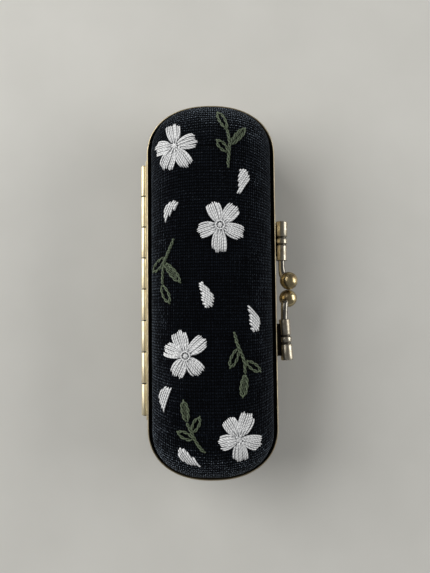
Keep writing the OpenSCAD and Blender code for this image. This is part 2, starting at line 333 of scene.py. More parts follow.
def dome_levels(inset, top, cap, steps, end_pull=0.0):
    """Levels from above the widest point to the crown, or to the edge of the flat foot."""
    levels = []
    for i in range(1, steps + 1):
        t = math.radians(90 - (90 - cap) * i / steps)
        r = math.sin(t) ** (2 / DOME_POWER)
        r_end = math.sin(t) ** (2 / END_DOME_POWER)
        f = (math.cos(t) / math.cos(math.radians(cap))) ** (2 / DOME_POWER)
        end = r_end * (END_L - inset - end_pull)
        levels.append((r * (HALF_W - inset), end, SPRING_H + (top - SPRING_H) * f))
    if cap > LID_CAP:
        edge = levels[-1]
        levels += [(edge[0] * s, edge[1] * s, edge[2]) for s in (0.85, 0.65, 0.45, 0.25, 0.05)]
    return levels


def wall_levels(inset_at, heights, extra=0):
    return [(HALF_W - inset_at(z) - extra, END_L - inset_at(z) - extra, z) for z in heights]


def fabric_wall(heights, depth):
    """The fabric's steep side: its ends are pulled in a little as they rise out of the groove."""
    levels = wall_levels(fabric_inset, heights, depth)
    pulls = [END_PULL * max(z - LIP_H, 0) / (SPRING_H - LIP_H) for z in heights]
    return [(w, e - pull, z) for (w, e, z), pull in zip(levels, pulls)]


def fabric_levels(depth, foot, cap, steps):
    heights = [foot, 2.4, 3.6, LIP_H, 5.1, 5.6, 6.2, SPRING_H]
    return fabric_wall(heights, depth) + dome_levels(BULGE + depth, HALF_H - depth, cap, steps, END_PULL)


def skin(outer, inner, side_n, arc_n):
    """A closed domed skin, and how many of its points are on the outside."""
    count = 2 * side_n + 4 * arc_n
    soup = Soup()
    points = np.concatenate([ring(level, side_n, arc_n) for level in outer + inner])
    faces = ring_faces(len(outer), count)
    faces += crown_faces((len(outer) - 1) * count, side_n, arc_n)
    start = len(outer) * count
    faces += [tuple(start + i for i in f) for f in ring_faces(len(inner), count, outwards=False)]
    faces += crown_faces(start + (len(inner) - 1) * count, side_n, arc_n, outwards=False)
    for i in range(count):
        j = (i + 1) % count
        faces.append((j, i, start + i, start + j))
    soup.add(points, faces)
    return soup, start


# ---- Materials ----

class Shader:
    """A material's node tree, with short ways to add nodes."""

    def __init__(self, name):
        self.material = bpy.data.materials.new(name)
        self.material.use_nodes = True
        self.tree = self.material.node_tree
        self.bsdf = self.tree.nodes["Principled BSDF"]

    def put(self, socket, value):
        if isinstance(value, bpy.types.NodeSocket):
            self.tree.links.new(value, socket)
        elif value is not None:
            socket.default_value = value

    def node(self, kind, inputs=None, **settings):
        made = self.tree.nodes.new(kind)
        for key, value in settings.items():
            setattr(made, key, value)
        for key, value in (inputs or {}).items():
            self.put(made.inputs[key], value)
        return made

    def math(self, operation, a, b=None, c=None):
        made = self.node("ShaderNodeMath", {0: a, 1: b, 2: c}, operation=operation)
        return made.outputs[0]

    def times(self, a, b):
        return self.math("MULTIPLY", a, b)

    def plus(self, a, b):
        return self.math("ADD", a, b)

    def attribute(self, name):
        """The three parts of a vector stored on the vertices."""
        stored = self.node("ShaderNodeAttribute", attribute_name=name)
        parts = self.node("ShaderNodeSeparateXYZ", {0: stored.outputs["Vector"]})
        return parts.outputs

    def noise(self, scale, detail=2.0, rough=0.5, vector=None, stretch=None):
        """Noise in millimetres, or over another vector."""
        if vector is None:
            size = [METRE * s for s in (stretch or (1, 1, 1))]
            where = self.node("ShaderNodeTexCoord").outputs["Object"]
            vector = self.node("ShaderNodeMapping", {"Vector": where, "Scale": size}).outputs[0]
        inputs = {"Vector": vector, "Scale": scale, "Detail": detail, "Roughness": rough}
        return self.node("ShaderNodeTexNoise", inputs).outputs["Fac"]

    def ramp(self, value, low, high, out_low=0.0, out_high=1.0):
        inputs = {"Value": value, 1: low, 2: high, 3: out_low, 4: out_high}
        return self.node("ShaderNodeMapRange", inputs).outputs[0]

    def mix(self, share, a, b):
        made = self.node("ShaderNodeMix", {"Factor": share}, data_type="RGBA")
        self.put(made.inputs[6], a)
        self.put(made.inputs[7], b)
        return made.outputs[2]

    def combine(self, x, y, z):
        return self.node("ShaderNodeCombineXYZ", {0: x, 1: y, 2: z}).outputs[0]

    def bump(self, height, distance, strength=1.0):
        """Bump of a height from 0 to 1, over distance in millimetres."""
        inputs = {"Height": height, "Distance": distance / METRE, "Strength": strength}
        self.put(self.bsdf.inputs["Normal"], self.node("ShaderNodeBump", inputs).outputs[0])

    def set(self, **inputs):
        for key, value in inputs.items():
            self.put(self.bsdf.inputs[key.replace("_", " ")], value)
        return self.material


# Near-black that the stored value paints into grooves, recesses and joints: tarnish and painted shade.
GROOVE_TARNISH_AND_SHADE = (0.012, 0.010, 0.008, 1)


def brass(name, bright, dull, rough, patina, grooves=True, scratched=0.5):
    """Brass with cloudy tarnish and fine scratches; where the stored value says so, grooves, recesses and
    joints are painted near-black, as tarnish and painted shade.
    """
    s = Shader(name)
    cloud = s.noise(0.35, 4.0, 0.6)
    speck = s.noise(3.0, 3.0, 0.6)
    scratch = s.noise(2.2, 2.0, 0.7, stretch=(3, 0.12, 3))
    worn = s.ramp(s.plus(cloud, s.times(speck, 0.35)), 0.5, 0.85)
    share = s.times(worn, patina)
    colour = s.mix(share, bright, dull)
    if grooves:
        # Tarnish and painted shade: the stored value paints grooves, recesses and joints near-black.
        hidden = s.attribute("patina")[0]
        colour = s.mix(hidden, colour, GROOVE_TARNISH_AND_SHADE)
        share = s.math("MAXIMUM", share, hidden)
    s.bump(s.plus(scratch, s.times(speck, 0.5)), 0.02, scratched)
    rough_now = s.plus(s.ramp(scratch, 0.3, 0.7, rough - 0.05, rough + 0.07),
                       s.times(share, 0.22))
    return s.set(Base_Color=colour, Metallic=1.0, Roughness=rough_now)


def linen(name, dark, light, pitches, depth, sheen, sheen_tint):
    """Plain weave on the stored thread coordinates, with slubs and uneven threads; painted shade darkens
    the gaps between the threads.
    """
    s = Shader(name)
    u, v, _ = s.attribute("weave")
    across, along = 1.1, 0.12
    slubs = []
    for scale_u, scale_v, aside in ((across, along, 0.0), (along, across, 9.0)):
        where = s.combine(s.times(u, scale_u), s.times(v, scale_v), aside)
        slubs.append(s.noise(1.0, 2.0, vector=where))
    slub_u, slub_v = slubs
    wave_u = s.math("MULTIPLY_ADD", slub_v, 0.8, u)
    wave_v = s.math("MULTIPLY_ADD", slub_u, 0.8, v)
    a = s.math("SINE", s.times(wave_u, math.pi / pitches[0]))
    b = s.math("SINE", s.times(wave_v, math.pi / pitches[1]))
    both = s.times(a, b)
    warp = s.plus(s.math("ABSOLUTE", a), both)
    warp = s.times(warp, s.ramp(slub_u, 0.3, 0.7, 0.3, 0.65))
    weft = s.math("SUBTRACT", s.math("ABSOLUTE", b), both)
    weft = s.times(weft, s.ramp(slub_v, 0.3, 0.7, 0.3, 0.65))
    height = s.math("MAXIMUM", warp, weft)
    fibre = s.noise(5.0, 2.0, 0.6)
    cloud = s.noise(0.12, 3.0)
    # Painted shade: the colour goes darker down into the gaps between the threads and lighter on their
    # crowns.
    shade = s.times(s.math("POWER", height, 2.6), s.ramp(fibre, 0.3, 0.75, 0.3, 1.7))
    shade = s.times(shade, s.ramp(cloud, 0.3, 0.7, 0.75, 1.25))
    s.bump(s.math("MULTIPLY_ADD", fibre, 0.2, height), depth, 1.0)
    return s.set(Base_Color=s.mix(shade, dark, light), Roughness=s.ramp(fibre, 0.3, 0.7, 0.8, 0.95),
                 Sheen_Weight=s.ramp(shade, 0.0, 0.6, 0.0, sheen), Sheen_Roughness=0.3,
                 Sheen_Tint=sheen_tint, Specular_IOR_Level=0.04)


def thread(name, light, shadow, pitch, sheen=0.25):
    """Twisted cotton floss: plies wind round each stitch, with fine fibres along them; painted shade
    darkens the grooves between the plies and each stitch's sides and underside.
    """
    s = Shader(name)
    along, cos_round, sin_round = s.attribute("ply")
    turn = s.times(along, 2 * math.pi / pitch)
    wind = s.plus(s.times(s.math("SINE", turn), cos_round),
                  s.times(s.math("COSINE", turn), sin_round))
    strand = s.ramp(wind, -1.0, 0.4)
    # Painted shade: each stitch darkens where its surface turns away from the top, down its sides and
    # underside.
    painted_side_shade = s.ramp(s.attribute("look")[1], 0.15, 0.95, 0.04, 1.0)
    fibre = s.noise(6.0, 3.0, 0.6, vector=s.combine(s.times(along, 0.25), cos_round, sin_round))
    tint = s.attribute("look")[0]
    # Painted shade: the colour darkens in the groove between the plies as they wind.
    share = s.times(s.ramp(strand, 0.0, 1.0, 0.5, 1.0), s.ramp(fibre, 0.25, 0.7, 0.85, 1.05))
    share = s.times(share, painted_side_shade)
    s.bump(s.math("MULTIPLY_ADD", fibre, 0.5, strand), 0.07, 0.8)
    return s.set(Base_Color=s.mix(s.times(share, tint), shadow, light),
                 Roughness=s.ramp(fibre, 0.3, 0.7, 0.45, 0.65), Sheen_Weight=sheen,
                 Sheen_Roughness=0.4, Specular_IOR_Level=0.35)


def matted(name, dark, light, scale, depth, rough, stretch=(1, 1, 1)):
    """A fibrous, matt surface such as board, wadding or paper."""
    s = Shader(name)
    coarse = s.noise(scale, 5.0, 0.65, stretch=stretch)
    fine = s.noise(scale * 6, 3.0, 0.6, stretch=stretch)
    s.bump(s.math("MULTIPLY_ADD", fine, 0.4, coarse), depth, 0.8)
    share = s.ramp(s.math("MULTIPLY_ADD", fine, 0.3, coarse), 0.4, 0.9)
    return s.set(Base_Color=s.mix(share, dark, light), Sheen_Weight=0.1, Specular_IOR_Level=0.2,
                 Roughness=s.ramp(fine, 0.3, 0.7, rough - 0.08, rough))


def paper_cord(name, light, dark):
    """Kraft paper cord, twisted, with creases along the twist."""
    s = Shader(name)
    along, cos_round, sin_round = s.attribute("ply")
    crease = s.noise(3.0, 4.0, 0.65, vector=s.combine(s.times(along, 0.5), cos_round, sin_round))
    s.bump(crease, 0.15, 0.7)
    return s.set(Base_Color=s.mix(s.ramp(crease, 0.3, 0.7), dark, light), Roughness=0.8,
                 Specular_IOR_Level=0.25)


def counter(name):
    """Plain pale floor, with faint cloudy wear."""
    s = Shader(name)
    cloud = s.noise(0.02, 3.0)
    fine = s.noise(0.6, 3.0)
    s.bump(fine, 0.03, 0.3)
    tone = s.mix(s.ramp(cloud, 0.3, 0.7), (0.60, 0.593, 0.560, 1), (0.645, 0.638, 0.605, 1))
    return s.set(Base_Color=tone, Roughness=s.ramp(fine, 0.3, 0.7, 0.5, 0.6), Specular_IOR_Level=0.3)


FRAME_BRASS = brass("frame_brass", (0.64, 0.55, 0.36, 1), (0.34, 0.25, 0.14, 1), 0.32, 0.6)
HINGE_BRASS = brass("hinge_brass", (0.78, 0.71, 0.51, 1), (0.55, 0.45, 0.27, 1), 0.36, 0.6)
CLASP_BRASS = brass("clasp_brass", (0.56, 0.52, 0.43, 1), (0.20, 0.17, 0.12, 1), 0.24, 0.8)
STEM_BRASS = brass("stem_brass", (0.34, 0.32, 0.28, 1), (0.10, 0.09, 0.08, 1), 0.12, 0.5, True, 0.08)
BALL_BRASS = brass("ball_brass", (0.56, 0.47, 0.27, 1), (0.16, 0.11, 0.06, 1), 0.2, 0.9, False, 0.2)
BLACK_LINEN = linen("black_linen", (0.0002, 0.0003, 0.0006, 1), (0.005, 0.0072, 0.0125, 1),
                    (WARP_PITCH, WEFT_PITCH), 0.6, 0.62, (0.70, 0.83, 1.0, 1))
LINING_COTTON = linen("lining_cotton", (0.42, 0.37, 0.28, 1), (0.72, 0.66, 0.54, 1),
                      (0.45, 0.5), 0.12, 0.2, (1.0, 0.98, 0.9, 1))
WADDING = matted("wadding", (0.62, 0.61, 0.58, 1), (0.9, 0.89, 0.86, 1), 0.8, 0.4, 0.95)
BOARD = matted("greyboard", (0.20, 0.18, 0.15, 1), (0.36, 0.33, 0.28, 1), 0.7, 0.08, 0.85, (1, 0.5, 1))
PAPER = paper_cord("kraft_paper", (0.62, 0.46, 0.28, 1), (0.32, 0.21, 0.11, 1))
WHITE_FLOSS = thread("white_floss", (0.98, 0.99, 1.0, 1), (0.07, 0.075, 0.09, 1), 1.3)
GREEN_FLOSS = thread("green_floss", (0.125, 0.165, 0.095, 1), (0.006, 0.009, 0.005, 1), 1.1, 0.12)


# ---- Frames ----

def channel_profile():
    """Section of the sheet-metal channel, as (inset, height), clockwise seen along the outline."""
    floor = RIM_FOOT + METAL_T
    inner = GROOVE_W
    corners = [
        ((0, RIM_FOOT), 0.4), ((inner + METAL_T, RIM_FOOT), 0.4),
        ((inner + METAL_T, INNER_LIP_H), METAL_T / 2.05), ((inner, INNER_LIP_H), METAL_T / 2.05),
        ((inner, floor), 0.2), ((METAL_T, floor), 0.2),
        ((METAL_T, LIP_H), METAL_T / 2.05), ((0, LIP_H), METAL_T / 2.05),
    ]
    points = []
    for i, (corner, radius) in enumerate(corners):
        here = Vector(corner)
        back = (Vector(corners[i - 1][0]) - here).normalized()
        ahead = (Vector(corners[(i + 1) % len(corners)][0]) - here).normalized()
        for k in range(5):
            t = k / 4
            start = here + radius * back
            end = here + radius * ahead
            points.append((1 - t) ** 2 * start + 2 * t * (1 - t) * here + t * t * end)
    return points


def half_frame(name, place):
    """The channel swept round the outline, its inside painted near-black as painted shade."""
    side_n, arc_n = 12, 32
    profile = channel_profile()
    rings = [ring((HALF_W - p.x, END_L - p.x, p.y), side_n, arc_n) for p in profile]
    soup = Soup()
    count = len(rings[0])
    # Painted shade: the inside of the channel, under the lip and behind the fabric, is marked to be painted
    # near-black.
    dark = [METAL_T * 0.8 < p.x < GROOVE_W + 0.1 and FOOT_H / 2 < p.y < LIP_H - 0.3 for p in profile]
    patina = np.repeat([[float(d), 0, 0] for d in dark], count, axis=0)
    faces = ring_faces(len(rings), count, outwards=False, closed=True)
    soup.add(np.concatenate(rings), faces, patina=patina)
    dress(soup, name + "_channel", place, name, "frame_brass", FRAME_BRASS, name + "_frame")


# ---- Coverings, paddings, shells and linings ----

def weave_coordinates(levels, side_n, arc_n):
    """Where the threads run: plan position, plus the length that the sides take, with bowed weft."""
    rings = [ring(level, side_n, arc_n) for level in levels]
    heights = [level[2] for level in levels]
    plan = [r[:, :2] for r in rings]
    widest = plan[np.argmax([level[0] for level in levels])]
    ahead = loop_ahead(widest)
    out = unit(np.column_stack([ahead[:, 1], -ahead[:, 0]]))
    spare = np.zeros(len(widest))
    coords = [None] * len(rings)
    for i in range(len(rings) - 1, -1, -1):
        if i < len(rings) - 1:
            across = np.linalg.norm(plan[i] - plan[i + 1], axis=1)
            rise = heights[i + 1] - heights[i]
            outward = np.einsum("ij,ij->i", plan[i] - plan[i + 1], out)
            spare = spare + np.hypot(across, rise) - np.maximum(outward, 0)
        u, v = (plan[i] + out * spare[:, None]).T
        share = np.clip(np.abs(plan[i][:, 0]) / (HALF_W - BULGE), 0, 1)
        bow = 4.6 * (np.minimum(np.abs(v), 60) / 47) ** 1.5 * share ** 3
        coords[i] = np.column_stack([u, v + np.sign(v) * bow, np.zeros(len(u))])
    return np.concatenate(coords)


def store_weave(soup, outer, inner, side_n, arc_n):
    both = [weave_coordinates(levels, side_n, arc_n) for levels in (outer, inner)]
    soup.values["weave"] = list(np.concatenate(both))


def relax_cloth(soup, start, count):
    """Moves the outer points as cloth over padding does, simulated larger than life; the movement is
    then squeezed to less than CLOTH_CAP."""
    outer = np.array(soup.points[:start])
    faces = [f for f in soup.faces if max(f) < start]
    mesh = bpy.data.meshes.new("cloth")
    mesh.from_pydata((outer * CLOTH_SCALE / METRE).tolist(), [], faces)
    cloth = add_object("cloth", mesh)
    held = cloth.vertex_groups.new(name="held")
    held.add(list(range(GLUED_ROWS * count)), 1.0, "REPLACE")
    mod = cloth.modifiers.new("cloth", "CLOTH")
    settings = mod.settings
    settings.quality = 6
    settings.mass = 0.2
    settings.tension_stiffness = 20
    settings.compression_stiffness = 20
    settings.shear_stiffness = 8
    settings.bending_stiffness = 0.4
    settings.use_pressure = True
    settings.uniform_pressure_force = CLOTH_PRESSURE
    settings.shrink_min = -CLOTH_SLACK
    settings.effector_weights.gravity = 0
    settings.vertex_group_mass = "held"
    mod.collision_settings.use_collision = False
    mod.point_cache.frame_start = 1
    mod.point_cache.frame_end = CLOTH_STEPS
    scene = bpy.context.scene
    for step in range(1, CLOTH_STEPS + 1):
        scene.frame_set(step)
    graph = bpy.context.evaluated_depsgraph_get()
    relaxed = cloth.evaluated_get(graph).data
    after = np.empty(3 * len(relaxed.vertices))
    relaxed.vertices.foreach_get("co", after)
    shift = after.reshape(-1, 3) * METRE / CLOTH_SCALE - outer
    length = np.linalg.norm(shift, axis=1, keepdims=True)
    shift /= 1 + length / CLOTH_CAP
    for i, move in enumerate(shift):
        soup.points[i] = soup.points[i] + move
    bpy.data.objects.remove(cloth)
    bpy.data.meshes.remove(mesh)
    scene.frame_set(1)


def half_cover(name, place, cap):
    """Linen stretched over the padding, with its edge glued into the frame's groove."""
    side_n, arc_n = 40, 22
    count = 2 * side_n + 4 * arc_n
    steps = 26 if cap == LID_CAP else 20
    outer = fabric_levels(0, FOOT_H, cap, steps)
    inner = fabric_levels(COVER_T, FOOT_H, cap, 12)
    soup, start = skin(outer, inner, side_n, arc_n)
    store_weave(soup, outer, inner, side_n, arc_n)
    relax_cloth(soup, start, count)
    if cap == BASE_CAP:
        for i in range(start):
            soup.points[i][2] = min(soup.points[i][2], HALF_H)
    piece = dress(soup, name + "_linen_cover", place, name, "linen", BLACK_LINEN, name + "_cover")
    smooth = piece.modifiers.new("smooth", "SUBSURF")
    smooth.levels = smooth.render_levels = 1
    return piece


def half_padding(name, place, cap):
    """Wadding between the fabric and the shell."""
    side_n, arc_n = 20, 14
    under = COVER_T + GLUE
    over = SHELL_INSET - GLUE
    heights = [WADDING_FOOT, 6.2, SPRING_H]
    outer = fabric_wall(heights, under) + dome_levels(BULGE + under, HALF_H - under, cap, 12, END_PULL)
    inner = wall_levels(lambda z: over, heights) + dome_levels(over, SHELL_TOP + GLUE, cap, 12)
    soup, _ = skin(outer, inner, side_n, arc_n)
    piece = dress(soup, name + "_wadding", place, name, "padding", WADDING, name + "_padding")


def plain_levels(inset, top, cap, steps):
    return wall_levels(lambda z: inset, [FOOT_H, 3, 5, SPRING_H]) + dome_levels(inset, top, cap, steps)


def half_shell(name, place, cap):
    """The moulded board that makes the case rigid."""
    side_n, arc_n = 20, 14
    outer = plain_levels(SHELL_INSET, SHELL_TOP, cap, 14)
    inner = plain_levels(SHELL_INSET + SHELL_T, SHELL_TOP - SHELL_T, cap, 14)
    soup, _ = skin(outer, inner, side_n, arc_n)
    dress(soup, name + "_moulded_shell", place, name, "shell", BOARD, name + "_shell")


def half_lining(name, place, cap):
    """Cotton lining, gathered a little round the ends where it goes down into the groove."""
    side_n, arc_n = 60, 60
    outer = plain_levels(LINING_INSET, LINING_TOP, cap, 20)
    inner = plain_levels(LINING_INSET + LINING_T, LINING_TOP - LINING_T, cap, 20)
    soup, start = skin(outer, inner, side_n, arc_n)
    store_weave(soup, outer, inner, side_n, arc_n)
    count = 2 * side_n + 4 * arc_n
    for i in range(start, len(soup.points)):
        x, y, z = soup.points[i]
        end = min(max((abs(y) - STRAIGHT + 8) / 20, 0), 1)
        low = min(max((z - FOOT_H) / 2.5, 0), 1) * min(max((LINING_TOP - 1 - z) / 9, 0), 1)
        column = (i - start) % count
        fold = 0.5 + 0.5 * math.sin(column * 1.15 + 2.2 * math.sin(column * 0.31))
        pull = 0.55 * end * low * fold / math.hypot(x, max(abs(y) - STRAIGHT, 0.01))
        soup.points[i][0] -= x * pull
        soup.points[i][1] -= math.copysign(max(abs(y) - STRAIGHT, 0), y) * pull
    dress(soup, name + "_cotton_lining", place, name, "lining", LINING_COTTON, name + "_lining")


def half_filler(name, place):
    """Two-ply twisted paper cord pressed into the groove, over the lining's edge."""
    outer_inset = LINING_INSET + LINING_T + 0.25
    inner_inset = GROOVE_W - 2 * GLUE
    middle = (outer_inset + inner_inset) / 2
    side_n, arc_n = 220, 90
    path = ring((HALF_W - middle, END_L - middle, FOOT_H + 0.9), side_n, arc_n)
    ahead = unit(loop_ahead(path))
    side = np.column_stack([ahead[:, 1], -ahead[:, 0], np.zeros(len(path))])
    along = distances(np.concatenate([path, path[:1]]))
    turns = round(along[-1] / 5.5)
    angle = 2 * math.pi * turns * along[:-1] / along[-1]
    width = (inner_inset - outer_inset) / 2
    soup = Soup()
    for phase in (0, math.pi):
        offset = np.cos(angle + phase)[:, None] * side * 0.16
        offset[:, 2] += np.sin(angle + phase) * 0.42
        add_tube(soup, path + offset, max(width - 0.17, 0.1), sides=8, flat=2.0, closed=True)
    dress(soup, name + "_paper_cord", place, name, "paper_cord", PAPER, name + "_filler_cord")


# ---- Hinge ----

# How dark each point of a knuckle's profile and of the pin's is painted, as tarnish and painted shade: the
# knuckles' bores and end faces, where they meet, and the pin's shank inside them
KNUCKLE_DARK = [1, 1, 0.8, 0, 0, 0.8, 1, 1]
PIN_DARK = [0, 0, 0, 0, 0.5, 1, 1, 0.5, 0, 0, 0, 0]


def both_ends(end, length):
    """A turned profile from the points at one end, with the same at the other."""
    return end + [(radius, length - distance) for radius, distance in end[::-1]]


def knuckle_profile(length):
    """A knuckle with its corners rounded off."""
    bore = PIN_R + 0.06
    end = [(bore, 0), (KNUCKLE_R - 0.16, 0), (KNUCKLE_R - 0.05, 0.05), (KNUCKLE_R, 0.16)]
    return both_ends(end, length)


def hinge_leaf(name, side):
    """A strip along the frame whose tabs roll round the pin; side is 1 on the lid, -1 on the base."""
    soup = Soup()
    clear = 1.45
    x = (-HALF_W - LEAF_T, -HALF_W)

    def block(y0, y1, z0, z1):
        low, high = sorted((PARTING + side * z0, PARTING + side * z1))
        add_block(soup, (x[0], y0, low), (x[1], y1, high), patina=(0, 0, 0))

    block(leaf_low.y, leaf_high.y, clear, LEAF_H)
    length = KNUCKLE_PITCH - KNUCKLE_GAP
    for k in range(1 if side > 0 else 0, KNUCKLES, 2):
        start = HINGE_Y + k * KNUCKLE_PITCH + KNUCKLE_GAP / 2
        block(start, start + length, LEAF_FOOT, clear + 0.05)
        add_lathe(soup, knuckle_profile(length), (HINGE_X, start, PARTING), KNUCKLE_DARK)
    piece = dress(soup, name + "_hinge_strip", None, name, "hinge_brass", HINGE_BRASS, name + "_hinge_leaf")
    bevel(piece, 0.1)


def hinge_pin():
    """The pin, with its ends peened over."""
    soup = Soup()
    length = pin_high.y - pin_low.y
    head = 0.9
    end = [(0.1, 0), (0.5, 0.02), (0.8, 0.12), (head, 0.25), (head, PIN_HEAD_T), (PIN_R, PIN_HEAD_T)]
    add_lathe(soup, both_ends(end, length), (HINGE_X, pin_low.y, PARTING), PIN_DARK)
    dress(soup, "hinge_pin_peened", None, "base", "hinge_brass", HINGE_BRASS, "hinge_pin")


# ---- Clasp, built for the base; the lid's is the same turned half round about X ----

def clasp_barrel(name, place, lean):
    """A turned barrel with two grooves, on a foot brazed to the frame; the grooves and socket are painted
    dark as tarnish and painted shade, and the whole foot near-black as painted shade.
    """
    # The third number of each point is how dark it is painted: tarnish and painted shade in the grooves,
    # the socket and the ends.
    ridge = [(1.72, 0, 0.9), (1.72, -0.02, 0.9), (2.15, -0.02, 0.5), (2.35, 0.1, 0), (2.4, 0.35, 0),
             (2.4, 6.6, 0), (2.32, 6.8, 0.2), (2.05, 6.95, 0.85), (2.05, 7.5, 0.85), (2.4, 7.7, 0.2),
             (2.55, 7.95, 0), (2.55, 9.75, 0), (2.4, 9.95, 0.2), (2.05, 10.15, 0.85), (2.05, 10.8, 0.85),
             (2.4, 10.95, 0.2), (2.56, 11.15, 0), (2.7, BARREL_L - 0.45, 0), (2.6, BARREL_L - 0.15, 0),
             (2.35, BARREL_L, 0.1), (1.2, BARREL_L, 0.3), (0.1, BARREL_L, 0.3)]
    socket = [(0.1, 1.7, 1), (1.7, 1.7, 1)]
    profile = [(r, s) for r, s, _ in socket + ridge]
    dark = [p for _, _, p in socket + ridge]
    turned_part = Soup()
    add_lathe(turned_part, profile, (0, 0, 0), dark)
    tilt = Matrix.Translation(BARREL) @ Matrix.Rotation(math.radians(-lean), 4, "Z")
    soup = Soup()
    patina = np.array(turned_part.values["patina"])
    soup.add(moved(turned_part.points, tilt), turned_part.faces, patina=patina)
    middle = BARREL.y + BARREL_L / 2
    # Painted shade: the whole foot is painted near-black, standing in for the shadow in the gap between the
    # barrel and the frame.
    add_block(soup, (HALF_W, middle - MOUNT_L / 2, BARREL.z - MOUNT_T / 2),
              (BARREL.x - 1, middle + MOUNT_L / 2, BARREL.z + MOUNT_T / 2), patina=(1, 0, 0))
    piece = dress(soup, name + "_turned_barrel", place, name, "clasp_brass", CLASP_BRASS,
                  name + "_clasp_barrel")
    bevel(piece, 0.15, 50)


def bezier(points, count):
    """A cubic curve through its first and last point."""
    t = np.linspace(0, 1, count)[:, None]
    a, b, c, d = (np.array(p, float) for p in points)
    return (1 - t) ** 3 * a + 3 * (1 - t) ** 2 * t * b + 3 * (1 - t) * t * t * c + t ** 3 * d


def clasp_stem(name, place):
    """A bent rod from the barrel's socket to the ball, a little stouter in its middle."""
    start = BARREL + Vector((0, 1.5, 0))
    pull = BARREL + Vector((0, -7.5, -0.4))
    enter = BALL + Vector((-1.9, 1.6, -3.4))
    end = BALL + Vector((-0.9, 0.8, -1.6))
    soup = Soup()
    count = 48
    path = bezier((start, pull, enter, end), count)
    t = np.linspace(0, 1, count)
    radius = STEM_R - 0.15 * t + 0.25 * np.sin(np.pi * t) ** 2
    add_tube(soup, path, radius, sides=24)
    # The stem is painted darker towards the barrel.
    soup.values["patina"] = [(0.3 * (1 - k), 0, 0) for k in t for _ in range(24)]
    arm = name + "_clasp_arm"
    dress(soup, name + "_bent_stem", place, arm, "clasp_brass", STEM_BRASS, name + "_clasp_stem")


def clasp_ball(name, place):
    """A plain turned ball."""
    soup = Soup()
    sides, rows = 64, 48
    points = []
    for row in range(1, rows):
        a = math.pi * row / rows
        for k in range(sides):
            b = 2 * math.pi * k / sides
            points.append((math.sin(a) * math.cos(b), math.sin(a) * math.sin(b), -math.cos(a)))
    sphere = np.array(BALL) + BALL_R * np.array(points)
    last = (rows - 2) * sides
    caps = [tuple(range(sides - 1, -1, -1)), tuple(last + k for k in range(sides))]
    soup.add(sphere, ring_faces(rows - 1, sides) + caps)
    arm = name + "_clasp_arm"
    dress(soup, name + "_turned_ball", place, arm, "ball_brass", BALL_BRASS, name + "_clasp_ball")


# ---- Embroidery, laid on the lid's finished linen ----

# Each flower: centre, then the direction in degrees and the length of each petal, then its middle
FLOWERS = [
    ((-15, 59.5), [(95, 10), (14, 9.5), (-57, 10.5), (-113, 10.5), (-178, 8.5)], "plain"),
    ((3.5, 26), [(110, 10), (49, 10.5), (-22, 10.5), (-92, 11.5), (-162, 9.5)], "ring"),
    ((-11, -27.5), [(107, 10.5), (41, 10.5), (-51, 9.5), (-117, 9.5), (160, 9.5)], "ring"),
    ((10.5, -61), [(68, 11), (121, 9.5), (-166, 8.5), (-87, 9.5), (-16, 9.5)], "knots"),
]
# Each sprig: points along its stem, then each leaf's foot, tip and filling
SPRIGS = [
    ([(7, 50), (7.5, 56), (8, 60), (7, 66)],
     [((6, 67), (3, 74.5), "open"), ((9.2, 59.5), (14.5, 67), "full"), ((6, 56.5), (2.5, 61.5), "open")]),
    ([(-15.5, 20.5), (-18, 15), (-20, 10), (-20.5, 2)],
     [((-20.8, 13.5), (-24.4, 7), "open"), ((-18, 10.2), (-13, 2.5), "loop"),
      ((-20.6, 0.8), (-17.5, -6), "open")]),
    ([(9, -18), (9.5, -21.5), (13, -30), (13, -35)],
     [((9.6, -25), (7, -32.5), "open"), ((14.6, -29.5), (19.5, -34.5), "open"),
      ((13.4, -36.2), (12, -44.5), "loop")]),
    ([(-3.5, -66.5), (-6.5, -63), (-8.5, -59), (-10.5, -54.5)],
     [((-10.7, -53.2), (-12, -45.5), "loop"), ((-7.8, -58), (-5.5, -52), "open"),
      ((-9, -61.5), (-14.5, -58), "open")]),
]
# Each loose petal: its two ends, its width, the direction of its stitches in degrees and which way
# its middle bows, 1 for the left as seen from its first end
PETALS = [
    ((12, 39.5), (14, 49), 4.6, 57, -1),
    ((-19.5, 28.5), (-15, 36), 4.2, 67, 1),
    ((-4.5, 2.5), (-1, -7.5), 4.8, -35, 1),
    ((15.5, -7.5), (18, -17.5), 4.2, -50, 1),
    ((-20.5, -50), (-18.5, -40.5), 4.6, 72, 1),
    ((-5.5, -72), (-14, -66), 4.6, 125, 1),
]


class Ground:
    """The lid's finished fabric, for points on it."""

    def __init__(self, cover):
        graph = bpy.context.evaluated_depsgraph_get()
        self.tree = BVHTree.FromObject(cover, graph)

    def at(self, x, y):
        """The point over (x, y) and the direction away from the fabric there."""
        above = Vector((x, y, PARTING + 2 * HALF_H)) / METRE
        hit, normal, _, _ = self.tree.ray_cast(above, Vector((0, 0, -1)))
        if hit is None:
            raise ValueError(f"no fabric under ({x:.1f}, {y:.1f})")
        return hit * METRE, normal

    def path(self, flat, lifts):
        """A flat path laid on the fabric, each point lifted off it."""
        points, normals = [], []
        for (x, y), lift in zip(flat, lifts):
            hit, normal = self.at(x, y)
            points.append(hit + float(lift) * normal)
            normals.append(normal)
        points = np.array(points)
        normals = np.array(normals)
        for _ in range(2):
            normals[1:-1] = (normals[:-2] + normals[1:-1] + normals[2:]) / 3
            points[1:-1] = 0.25 * points[:-2] + 0.5 * points[1:-1] + 0.25 * points[2:]
        return points, unit(normals)


def leftward(direction):
    """A direction in plan turned a quarter to the left."""
    return np.array([-direction[1], direction[0]])


